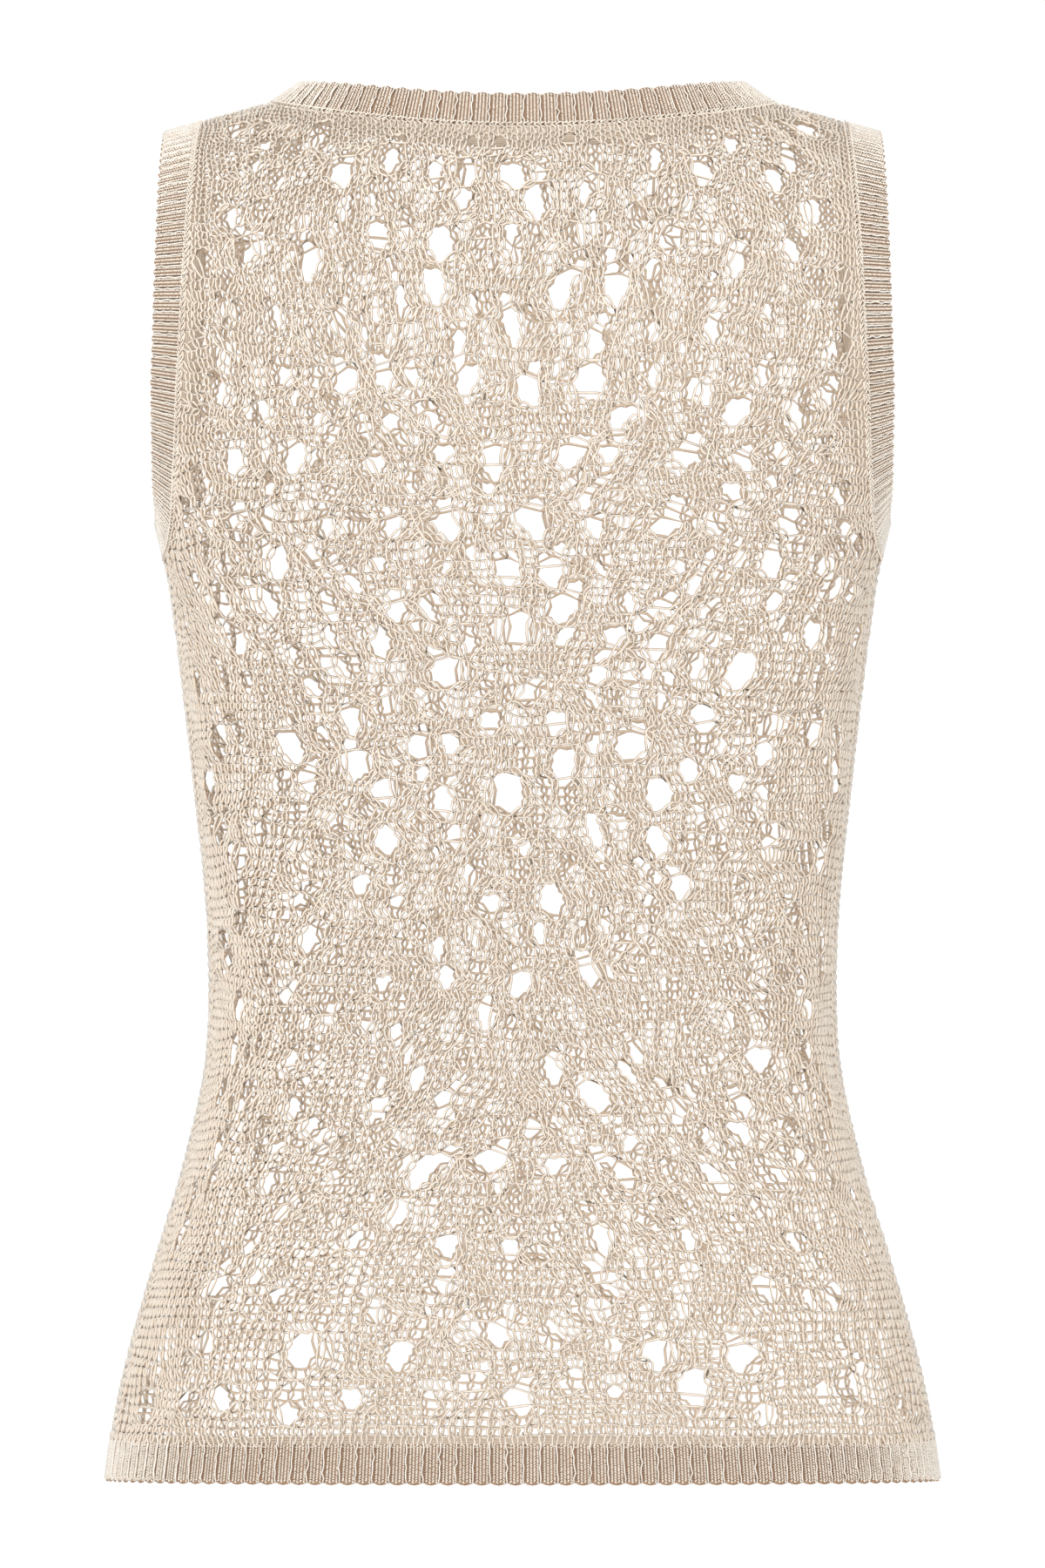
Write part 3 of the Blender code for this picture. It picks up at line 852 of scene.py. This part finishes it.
def spring_links(rest, chart, rng):
    """Springs from each loop's foot to its head, and from loop to loop along a course."""
    cloth, full, over, head_i, head_j = chart
    size = (WALES, COURSES + 1)
    index = np.arange(WALES * (COURSES + 1)).reshape(size)
    head = index[head_i, head_j]
    tall_noise, wide_noise = (
        0.75 * smooth_noise(size, rng, 2) + 0.75 * smooth_noise(size, rng, 12) for _ in range(2)
    )
    rise = (SHOULDER_LINE - HEM_BAND) / COURSES
    pitch = np.linalg.norm(np.diff(rest, axis=0, append=2 * rest[-1:] - rest[-2:-1]), axis=-1)
    links = []
    bars = set()
    for j in range(COURSES):
        row = [i for i in range(WALES) if full[i, j] and not over[i, j]]
        for i in row:
            tall = head_j[i, j] - j
            lean = min(abs(head_i[i, j] - i), 3)
            length = rise * LEAN_LENGTHS[lean] * (1 + TALL_VARIATION * tall_noise[i, j])
            if tall > 1:
                length = rise * LEAN_LENGTHS[0] * tall
            links.append((index[i, j], head[i, j], length, 1.0))
        for i, n in zip(row, row[1:]):
            if n == i + 1:
                wide = pitch[i, j] * LOOP_WIDTH * (1 + WIDE_VARIATION * wide_noise[i, j])
                links.append((index[i, j], index[n, j], wide, 1.0))
                continue
            tops = [head[m, j] for m in range(i + 1, n) if over[m, j]]
            if tops:
                chain = [index[i, j]] + tops + [index[n, j]]
                wide = pitch[i, j] * CROSSING_WIDTH
                links += [(a, b, wide, CROSSING_PULL) for a, b in zip(chain, chain[1:])]
            elif n - i <= 4 and cloth[i:n, j].all() and rng.random() < BAR_CHANCE:
                wide = pitch[i, j] * BAR_WIDTH * (n - i)
                links.append((index[i, j], index[n, j], wide, BAR_PULL))
                bars.add((i, j))
    return np.array(links), bars


def relaxed(start, links, held):
    """Lets every free place move to where its springs balance."""
    start, held = start.reshape(-1, 2), held.ravel()
    a, b = links[:, 0].astype(int), links[:, 1].astype(int)
    length, stiff = links[:, 2], links[:, 3]
    places = start.copy()
    pull = np.bincount(a, stiff, len(start)) + np.bincount(b, stiff, len(start))
    for _ in range(SETTLE_ROUNDS):
        run = places[b] - places[a]
        far = np.linalg.norm(run, axis=1) + 1e-12
        force = (stiff * (far - length) / far)[:, None] * run
        total = HOME_PULL * (start - places)
        for k in (0, 1):
            pulled, pushed = (np.bincount(end, force[:, k], len(start)) for end in (a, b))
            total[:, k] += pulled - pushed
        step = total / (pull + HOME_PULL)[:, None] * 0.8
        step[held] = 0
        places += step
    return places.reshape(WALES, COURSES + 1, 2)


def settle(side, rng):
    """Charts one panel and lets it settle: its places, loops, crossings, heads and bars."""
    rest = rest_places(side)
    kept = under_neck(side, rest)
    chart = charted(side, kept, rng)
    links, bars = spring_links(rest, chart, rng)
    start = rest.copy()
    rim = kept & grow(~kept, 1, 1)
    start[rim] = nearest_on(neck_edge(side), start[rim])
    sway = EDGE_SWAY * smooth_noise((WALES, COURSES + 1), rng, 2)[:, 1:-1]
    for edge in (0, -1):
        start[edge, 1:-1, 1] += sway[edge] * (rest[edge, 1:-1, 1] < 0.6)
    held = rim.copy()
    held[0] = held[-1] = held[:, 0] = held[:, -1] = True
    return relaxed(start, links, held), *chart[1:], bars


print("rounds of settling", SETTLE_ROUNDS)

# %% [markdown]
# Now the yarn itself. On the right side of knitting the two legs of a loop lie in front as a V
# and its head goes behind the next loop's feet. Each course is one strand that dips from leg to
# head to leg and on to the next loop.

# %% Draw the yarn
YARN = {"back": 0.00067, "front": 0.00074}
# The front's finish is painted lighter than the back's, as painted light where the front shows
# through the back's holes.
FINISH = {"back": lace_yarn, "front": front_yarn_painted_light}
LEG_DEPTH = 0.0006
BACK_DEPTH = 0.0015
LEG_SPREAD = 0.00122
LONG_LOOP = 0.0055
LONG_LOOP_RANGE = 0.004
LONG_LOOP_SPREAD = 0.0004
FOOT_SPREAD = 0.00045


def loop_points(base, head, last_foot, fine):
    """A loop's points as flat places with depths: link, foot, legs, head, legs, foot."""
    run = head - base
    long = math.hypot(run[0], run[1]) + 1e-9
    up = run / long
    left = np.array((-up[1], up[0]))
    left = left if left[0] < 0 else -left
    held = min(max((long - LONG_LOOP) / LONG_LOOP_RANGE, 0), 1)
    leg = min(LEG_SPREAD, 0.36 * long) + LONG_LOOP_SPREAD * held
    foot = base - up * 0.0002
    turns = ((0.32, 0.85), (0.74, 1.0)) if fine else ((0.60, 1.0),)
    legs = [(base + run * rise, left * leg * wide) for rise, wide in turns]
    points = [(foot - (FOOT_SPREAD, 0), BACK_DEPTH - 0.0003)]
    points += [(middle + aside, LEG_DEPTH) for middle, aside in legs]
    points += [(head + up * 0.0006, BACK_DEPTH)]
    points += [(middle - aside, LEG_DEPTH) for middle, aside in reversed(legs)]
    points += [(foot + (FOOT_SPREAD, 0), BACK_DEPTH - 0.0003)]
    if last_foot is not None:
        link = (last_foot + points[0][0]) / 2 - (0, 0.0004)
        points.insert(0, (link, BACK_DEPTH))
    return points


print("yarn radius", YARN)

# %% [markdown]
# The loops of one course are strung together. Where the needles between two loops are empty, the
# strand ends, or in a few places runs across the hole as a single bar of yarn.


# %% Strands of a course
def course_strands(net, course, fine):
    """The strands of one course, each a list of flat places and depths."""
    places, full, over, head_i, head_j, bars = net
    strands, strand, last = [], [], None
    for i in np.flatnonzero(full[:, course]):
        head = places[head_i[i, course], head_j[i, course]]
        if last is not None and i > last + 1:
            crossing = (last, course) in bars or over[i, course] or over[last, course]
            if not crossing:
                strands.append(strand)
                strand = []
            elif not over[i, course] and not over[last, course]:
                start, end = strand[-1][0], places[i, course]
                strand += [(start + (end - start) * share, BACK_DEPTH) for share in (0.15, 0.8)]
        if over[i, course]:
            strand.append((head + (-0.0007, 0.0002), BACK_DEPTH))
            strand.append((head + (0.0007, 0.0002), BACK_DEPTH))
        else:
            beside = strand[-1][0] if strand and last == i - 1 and not over[last, course] else None
            strand += loop_points(places[i, course], head, beside, fine)
        last = i
    strands.append(strand)
    return [s for s in strands if len(s) > 1]


def lace_piece(name, side, net, courses, rng):
    """Knits some courses of a panel as one piece."""
    flat, depth, starts = [], [], []
    for course in courses:
        for strand in course_strands(net, course, side == "back"):
            flat += [p for p, _ in strand]
            depth += [d for _, d in strand]
            starts += [True] + [False] * (len(strand) - 1)
    flat, depth = np.array(flat), np.array(depth)
    depth = depth + rng.normal(0, UNEVEN, len(depth))
    sewn_in = 0.0008 * (flat[:, 1] < HEM_BAND + 0.001)
    flat[:, 1] = np.clip(flat[:, 1] - sewn_in, HEM_BAND - 0.0016, SHOULDER_LINE)
    places, normals = wrap(side, flat, depth)
    return yarn_piece(name, places, normals, np.array(starts), YARN[side], FINISH[side])


print("depth of a loop's head under the surface", BACK_DEPTH)

# %% [markdown]
# Each panel is charted and settled whole, and then drawn as three pieces of about the same
# number of loops, cut between two courses, so that no single mesh grows too heavy. The flat
# size of a piece is its width and length before it is put on.

# %% Knit the two panels
PARTS = ("lower", "middle", "upper")


def flat_size(side, first, last):
    """Width, length and area of some courses of a panel, laid flat."""
    heights = np.linspace(HEM_BAND, SHOULDER_LINE, COURSES + 1)[first : last + 1]
    widths = 2 * panel_half_width(side, heights)
    edge = neck_edge(side)
    gap = 2 * np.interp(heights, edge[:, 1], edge[:, 0], left=0)
    shown = np.maximum(widths - gap, 0)
    steps = np.diff(heights)
    area = float(((shown[1:] + shown[:-1]) / 2 * steps).sum())
    return float(widths.max()), float(heights[-1] - heights[0]), area


for side in ("back", "front"):
    rng = np.random.default_rng(MORE_SEED[side])
    net = settle(side, rng)
    loops = np.cumsum(net[1].sum(axis=0))
    cuts = [loops[-1] * k / len(PARTS) for k in range(1, len(PARTS))]
    bounds = [0, *(int(course) for course in np.searchsorted(loops, cuts)), COURSES]
    for part, first, last in zip(PARTS, bounds, bounds[1:]):
        piece = lace_piece(f"{side}_lace_{part}", side, net, range(first, last), rng)
        width, length, area = flat_size(side, first, last)
        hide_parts(f"{side}_panel")
        print(part, "flat size", round(width, 3), round(length, 3), "area", round(area, 4))


# %% [markdown]
# The bands are ribbed strips, sewn to the seams. Each seam becomes an even row of frames: its
# place, the way off the lace and the outward direction. At the neck the band leans up from the
# cloth, as a neckband does on a neck.

# %% Frames along the seams
def seam_frames(side_angle_height, closed, lift):
    """Place, way off the cloth and normal for each point of a seam."""
    places = np.array([cloth_point(s, a, h) for s, a, h in side_angle_height])
    normals = np.array([cloth_normal(s, a, h) for s, a, h in side_angle_height])
    if closed:
        along = unit(np.roll(places, -1, 0) - np.roll(places, 1, 0))
    else:
        along = unit(np.gradient(places, axis=0))
    out = unit(np.cross(normals, along))
    if lift:
        share = np.minimum(np.abs(places[:, 0]) / NECK_HALF_WIDTH, 1.0) ** 5
        sides = np.array([NECK_LIFT[s] for s, _, _ in side_angle_height])
        rise = np.zeros((len(places), 3))
        rise[:, 2] = sides * (1 - share) + SHOULDER_LIFT * share
        out = unit(out + rise)
        out = unit(out - along * (out * along).sum(-1, keepdims=True))
        normals = unit(normals - out * (normals * out).sum(-1, keepdims=True))
    return places, out, normals


def smooth_run(values, closed, count):
    """Even samples on a smooth curve through rows of values; the first three columns are places."""
    if closed:
        before, after, next_after = (np.roll(values, way, 0) for way in (1, -1, -2))
    else:
        before = np.concatenate([2 * values[:1] - values[1:2], values[:-1]])
        after = np.concatenate([values[1:], 2 * values[-1:] - values[-2:-1]])
        next_after = np.concatenate([after[1:], after[-1:]])
    t = np.linspace(0, 1, 8, endpoint=False)[None, :, None]
    a, b, c, d = (v[:, None] for v in (before, values, after, next_after))
    curve = 0.5 * (
        2 * b + (c - a) * t + (2 * a - 5 * b + 4 * c - d) * t**2 + (3 * b - a - 3 * c + d) * t**3
    )
    if not closed:
        curve = curve[:-1]
    curve = curve.reshape(-1, values.shape[1])
    curve = np.concatenate([curve, values[:1] if closed else values[-1:]])
    run = np.concatenate([[0], np.cumsum(np.linalg.norm(np.diff(curve[:, :3], axis=0), axis=1))])
    at = np.linspace(0, run[-1], count + 1)
    at = at[:-1] if closed else at
    return np.stack([np.interp(at, run, curve[:, k]) for k in range(values.shape[1])], -1), run[-1]


def even_frames(frames, closed, count):
    found, length = smooth_run(np.concatenate(frames, axis=1), closed, count)
    return (found[:, :3], unit(found[:, 3:6]), unit(found[:, 6:9])), length


print("points of the armhole seam", len(armhole_turns()))

# %% [markdown]
# There is one seam round the neck, one round each armhole, and one along the hem of each panel.
# The left armhole is the right one mirrored.


# %% Seams of the bands
def neck_seam():
    runs = {side: [(side, a, h) for a, h in neck_turns(side)[::4]] for side in ("back", "front")}
    right = runs["back"] + runs["front"][-2::-1]
    left = [(side, -angle, height) for side, angle, height in reversed(right[1:-1])]
    return seam_frames(right + left, True, True)


def arm_seam(mirror):
    seam = [
        ("back", a, h) if a <= np.pi / 2 else ("front", np.pi - a, h)
        for a, h in armhole_turns()[:-1]
    ]
    places, out, normals = seam_frames(seam, True, False)
    if mirror:
        flip = np.array((-1, 1, 1))
        return places[::-1] * flip, out[::-1] * flip, normals[::-1] * flip
    return places, out, normals


def hem_seam(side):
    turns = np.linspace(-1, 1, 31) * SIDE_SEAM[side] * 0.9985
    high = cloth_point(side, turns, HEM_BAND)
    low = cloth_point(side, turns, 0)
    return high, unit(low - high), cloth_normal(side, turns, HEM_BAND)


_, neck_length = even_frames(neck_seam(), True, 100)
_, arm_length = even_frames(arm_seam(False), True, 100)
print("neck seam", round(float(neck_length), 3), "armhole seam", round(float(arm_length), 3))

# %% [markdown]
# Each band is planned by its seam, whether it closes to a ring, its width, its number of ribs
# and the columns of stitches on a rib. The ground is given as the low and high points of one
# rib, and any place on a band by steps along it, distance off the seam and height.

# %% Plan of the bands
RIB_STEPS = 12
STITCH_ROW = 0.0011
STITCH_RADIUS = 0.00050
CORD_RADIUS = 0.00046
EDGE_INSET = 0.0011
BANDS = {
    "neckband": (neck_seam(), True, NECK_BAND, 76, 4),
    "armband_right": (arm_seam(False), True, ARM_BAND, 105, 3),
    "armband_left": (arm_seam(True), True, ARM_BAND, 105, 3),
    "hem_band_back": (hem_seam("back"), False, HEM_BAND, 60, 4),
    "hem_band_front": (hem_seam("front"), False, HEM_BAND, 72, 4),
}
GROUND = ((0.00, -0.0012), (0.17, -0.0018), (0.30, -0.0011), (0.60, -0.0008), (0.90, -0.0010))


def on_band(frames, closed, at, off, out_of):
    """Places on a band: steps along its seam, distance off the seam and height out of the cloth."""
    low = np.floor(at).astype(int)
    share = (at - low)[:, None]
    count = len(frames[0])
    first, second = (low % count, (low + 1) % count) if closed else (
        np.clip(low, 0, count - 1), np.clip(low + 1, 0, count - 1))
    place, away, normal = (v[first] * (1 - share) + v[second] * share for v in frames)
    return place + away * off[:, None] + normal * out_of[:, None], normal


def shown_piece(node):
    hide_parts(node)


# %% [markdown]
# A band is made in three layers. A closed shell with raised ribs is the ground: outside, round
# the scalloped cast-off edge and back along a plain inside. It could be an extruded strip with
# a displacement, but here the ribs are real, so that they show at the silhouette.

# %% Ground of a band
def band_ground(name, frames, closed, width, ribs):
    """The ribbed shell of a band, with a plain inside and a scalloped cast-off edge."""
    inner = ((0.9995, -0.0014), (0.97, -BAND_WALL), (0.5, -BAND_WALL), (0.0, -BAND_WALL))
    columns = len(GROUND)
    number = np.arange(ribs * columns + (0 if closed else 1))
    share = np.array([c[0] for c in GROUND])[number % columns]
    low = np.array([c[1] for c in GROUND])[number % columns]
    at = (number // columns + share) * RIB_STEPS
    edge = width - EDGE_INSET + 0.0008 * np.sin(np.pi * np.clip((share - 0.17) / 0.83, 0, 1))
    offs = [edge * k / 5 for k in range(6)] + [edge * k for k, _ in inner]
    heights = [low] * 5 + [low - 0.0002] + [np.full(len(number), h) for _, h in inner]
    rings = [on_band(frames, closed, at, off, high)[0] for off, high in zip(offs, heights)]
    grid = np.stack(rings, 1)
    high = grid.shape[1]
    index = np.arange(len(number) * high).reshape(-1, high)
    here = index if closed else index[:-1]
    following = np.roll(index, -1, 0) if closed else index[1:]
    faces = np.stack([here, np.roll(here, -1, 1), np.roll(following, -1, 1), following], -1)
    caps = [] if closed else [index[0], index[-1][::-1]]
    corner = np.concatenate([faces.ravel(), *caps])
    rows = np.stack([np.broadcast_to(off, len(number)) for off in offs], 1) * 1000
    ways = np.broadcast_to(at[:, None], rows.shape)
    corners = np.stack([ways.ravel()[corner], rows.ravel()[corner]], -1)
    faces = faces.reshape(-1, 4).tolist() + [cap.tolist() for cap in caps]
    # The outside faces take the painted shade of the grooves, the inside faces the yarn's plain
    # beige.
    piece = mesh_piece(name, grid, faces, "rows", corners, [groove_painted_shade, inside_yarn])
    inside = np.arange(len(faces)) % high >= 6
    piece.data.polygons.foreach_set("material_index", inside.astype(int))
    print(name, "faces", len(faces))
    return piece


# %% [markdown]
# The ribbing's stitches are drawn one by one: short slanting strands in columns on each rib,
# leaning left and right by turns, and one wavy cord of yarn between two ribs.

# %% Stitches and cords of a band
def band_stitches(name, frames, closed, width, ribs, columns, rng):
    """Slanting stitches in columns on every rib, leaning left and right by turns."""
    rows = int((width - 0.0006) / STITCH_ROW)
    grid = np.meshgrid(range(ribs), range(columns), range(rows), indexing="ij")
    rib, column, row = (numbers.ravel() for numbers in grid)
    share = 0.31 + 0.60 * column / (columns - 1)
    way = np.where(column % 2, 1.0, -1.0)
    off = 0.0003 + row * STITCH_ROW + 0.5 * STITCH_ROW * (column % 2)
    off += rng.normal(0, UNEVEN, len(row))
    raised = 0.0003 * np.sin(np.pi * (share - 0.17) / 0.83)
    slant = 0.18 / columns * RIB_STEPS
    places, normals = [], []
    for end in (-1, 1):
        at = (rib + share) * RIB_STEPS + way * end * slant
        lift = raised - 0.00075 + end * 0.0001
        point, normal = on_band(frames, closed, at, off + end * 0.00042, lift)
        places.append(point)
        normals.append(normal)
    places = np.stack(places, 1).reshape(-1, 3)
    normals = np.stack(normals, 1).reshape(-1, 3)
    starts = np.tile([True, False], len(rib))
    return yarn_piece(name, places, normals, starts, STITCH_RADIUS, rib_yarn)


def band_cords(name, frames, closed, width, ribs, first, rng):
    """One wavy cord between every two ribs, from the seam to the cast-off edge."""
    points = 9
    rib, point = (a.ravel() for a in np.meshgrid(range(ribs), range(points), indexing="ij"))
    off = first + (width - EDGE_INSET - first) * point / (points - 1)
    sway = rng.normal(0, 0.030, len(rib)) + 0.03 * np.sin(point * 2.1 + rib)
    at = (rib + 0.06 + sway) * RIB_STEPS
    lift = -0.00035 + rng.normal(0, 0.00006, len(rib)) - 0.0009 * (point == points - 1)
    places, normals = on_band(frames, closed, at, off, lift)
    starts = point == 0
    return yarn_piece(name, places, normals, starts, CORD_RADIUS, cord_yarn)


# %% [markdown]
# Every band is knitted the same way from its plan: ground, stitches, cords. On the hem the
# cords start in the lace, where its last stitches run into the ribbing.

# %% Knit the bands
for name, (seam, closed, width, ribs, columns) in BANDS.items():
    rng = np.random.default_rng(len(name) + ribs)
    frames, length = even_frames(seam, closed, ribs * RIB_STEPS)
    ground = band_ground(name + "_ground", frames, closed, width, ribs)
    stitches = band_stitches(name + "_stitches", frames, closed, width, ribs, columns, rng)
    first = -0.0014 if name.startswith("hem") else 0.0008
    cords = band_cords(name + "_cords", frames, closed, width, ribs, first, rng)
    for piece in (ground, stitches, cords):
        shown_piece(name)
    print(name, "ribs", ribs, "seam length", round(float(length), 3))

# %% [markdown]
# A line of linked stitches joins the neckband and the armbands to the lace: a chain of small Vs
# along the seam. A larger one closes the side seams. Each chain is given by the pitch of its
# stitches, their half width, the yarn's radius and its lift out of the cloth.


# %% Linked chains
BAND_CHAIN = (0.0024, 0.0014, 0.00042, -0.0001)
SIDE_CHAIN = (0.0034, 0.0012, 0.0005, -0.0002)


def chain_piece(name, frames, closed, measures, finish):
    """A chain of V stitches along a seam."""
    pitch, wide, radius, lift = measures
    _, length = even_frames(frames, closed, 10)
    links = int(round(length / pitch))
    (places, out, normals), _ = even_frames(frames, closed, links * 2)
    count = len(places)
    strands, ups, starts = [], [], []
    for k in range(0, count - (0 if closed else 2), 2):
        a, b, c = places[k], places[(k + 1) % count], places[(k + 2) % count]
        for way in (-1, 1):
            normal = normals[k]
            strands.append(a - normal * 0.0004 + normal * lift)
            strands.append(b + out[k] * wide * way * 0.6 + normal * (lift + 0.0003))
            strands.append(c + out[k] * wide * way + normal * (lift - 0.0001))
            strands.append(c + (c - b) * 0.5 - normal * 0.0008 + normal * lift)
            ups += [normal] * 4
            starts += [True, False, False, False]
    return yarn_piece(name, np.array(strands), np.array(ups), np.array(starts), radius, finish)


for name in ("neckband", "armband_right", "armband_left"):
    chain = chain_piece(name + "_chain", BANDS[name][0], True, BAND_CHAIN, rib_yarn)
    shown_piece(name)


def side_seam(way):
    height = np.linspace(HEM_BAND, UNDERARM, 30)
    angle = np.full(30, SIDE_SEAM["back"]) * way
    places = cloth_point("back", angle, height)
    normals = cloth_normal("back", angle, height)
    along = unit(np.gradient(places, axis=0))
    return places, unit(np.cross(normals, along)), normals


for name, way in (("right", 1), ("left", -1)):
    chain = chain_piece("side_seam_" + name, side_seam(way), False, SIDE_CHAIN, lace_yarn)
    shown_piece("back_panel")
